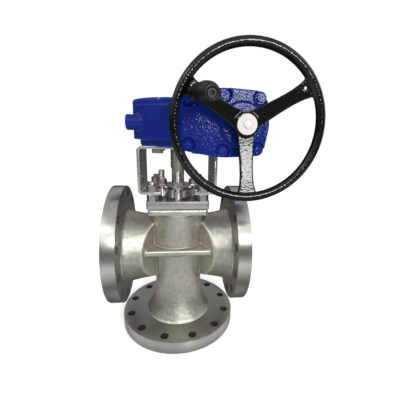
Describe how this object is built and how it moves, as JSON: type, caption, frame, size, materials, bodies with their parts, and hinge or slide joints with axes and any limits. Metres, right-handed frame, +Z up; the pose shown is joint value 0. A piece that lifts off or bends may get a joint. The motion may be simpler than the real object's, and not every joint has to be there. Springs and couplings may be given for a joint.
{
  "type": "three-way plug valve",
  "caption": "Flanged three-way plug valve in cast stainless steel, with a bottom port in line with the stem and a worm-gear operator turned by a spoked handwheel.",
  "frame": {"origin": "centre of the bottom flange's sealing face", "axes": "+Z up the stem, +X along the run to the right side flange, -Y towards the handwheel"},
  "size_m": [0.5575, 0.5112, 0.853],
  "materials": {
    "cast_stainless": "satin cast, bead blasted",
    "machined_stainless": "machined",
    "fastener_stainless": "turned",
    "polished_stainless": "ground",
    "white_liner": "matte",
    "dark_packing": "matte",
    "blue_paint": "gloss enamel over casting",
    "bronze": "machined",
    "dark_steel": "oiled",
    "black_paint": "gloss enamel",
    "black_grip": "satin",
    "bright_washer": "bright plated",
    "indicator_yellow": "satin"
  },
  "bodies": {
    "valve_body": {"body_casting": "cast_stainless", "neck_left": "cast_stainless", "neck_right": "cast_stainless", "neck_bottom": "cast_stainless", "flange_left": "cast_stainless", "flange_right": "cast_stainless", "flange_bottom": "cast_stainless", "plug_liner": "white_liner", "cover_gasket": "dark_packing", "top_cover": "machined_stainless", "cover_studs": "fastener_stainless", "cover_nuts": "fastener_stainless", "thrust_washer": "white_liner", "stem_packing": "dark_packing", "gland_follower": "machined_stainless", "gland_studs": "fastener_stainless", "gland_nuts": "fastener_stainless", "bracket_head": "machined_stainless", "bracket_leg_left": "machined_stainless", "bracket_leg_right": "machined_stainless", "bracket_foot_left": "machined_stainless", "bracket_foot_right": "machined_stainless", "bracket_nuts": "fastener_stainless", "gearbox_bolts": "fastener_stainless", "gearbox_housing": "blue_paint", "gearbox_lid": "blue_paint", "lid_screws": "dark_steel", "lower_bush": "bronze", "upper_bush": "bronze", "worm_bearings": "dark_steel", "input_bearings": "dark_steel", "worm_end_cap": "blue_paint", "end_cap_screws": "blue_paint", "gear_case_cover": "blue_paint", "case_cover_bolts": "blue_paint", "stop_screws": "dark_steel"},
    "plug_train": {"plug": "polished_stainless", "stem_coupling": "polished_stainless", "stem_key": "dark_steel", "hub_key": "dark_steel", "worm_wheel": "bronze", "position_indicator": "indicator_yellow"},
    "worm_train": {"worm_shaft": "dark_steel", "worm": "dark_steel", "spur_gear": "dark_steel"},
    "handwheel_train": {"input_shaft": "dark_steel", "spur_pinion": "dark_steel", "handwheel": "black_paint", "handwheel_key": "dark_steel", "hub_washer": "bright_washer", "hub_screw": "fastener_stainless", "grip_pin": "dark_steel"},
    "grip": {"spinner_grip": "black_grip"}
  },
  "joints": [
    {"name": "handwheel_turn", "type": "hinge", "parent": "valve_body", "child": "handwheel_train", "pos_m": [0.16445, -0.2, 0.6695], "axis": [0, 1, 0], "range_deg": [0, 7267.5]},
    {"name": "worm_turn", "type": "hinge", "parent": "valve_body", "child": "worm_train", "pos_m": [0.102, 0, 0.672], "axis": [0, 1, 0], "range_deg": [-3421, 1]},
    {"name": "plug_turn", "type": "hinge", "parent": "valve_body", "child": "plug_train", "pos_m": [0, 0, 0.286], "axis": [0, 0, 1], "range_deg": [-0.05, 90.05]},
    {"name": "grip_spin", "type": "hinge", "parent": "handwheel_train", "child": "grip", "pos_m": [0.05189, -0.23679, 0.73062], "axis": [0.1843, -0.9778, -0.1001], "continuous": true}
  ],
  "couplings": [
    {"joint": "worm_turn", "follows": "handwheel_turn", "ratio": -0.47059},
    {"joint": "plug_turn", "follows": "handwheel_turn", "ratio": 0.012384}
  ]
}
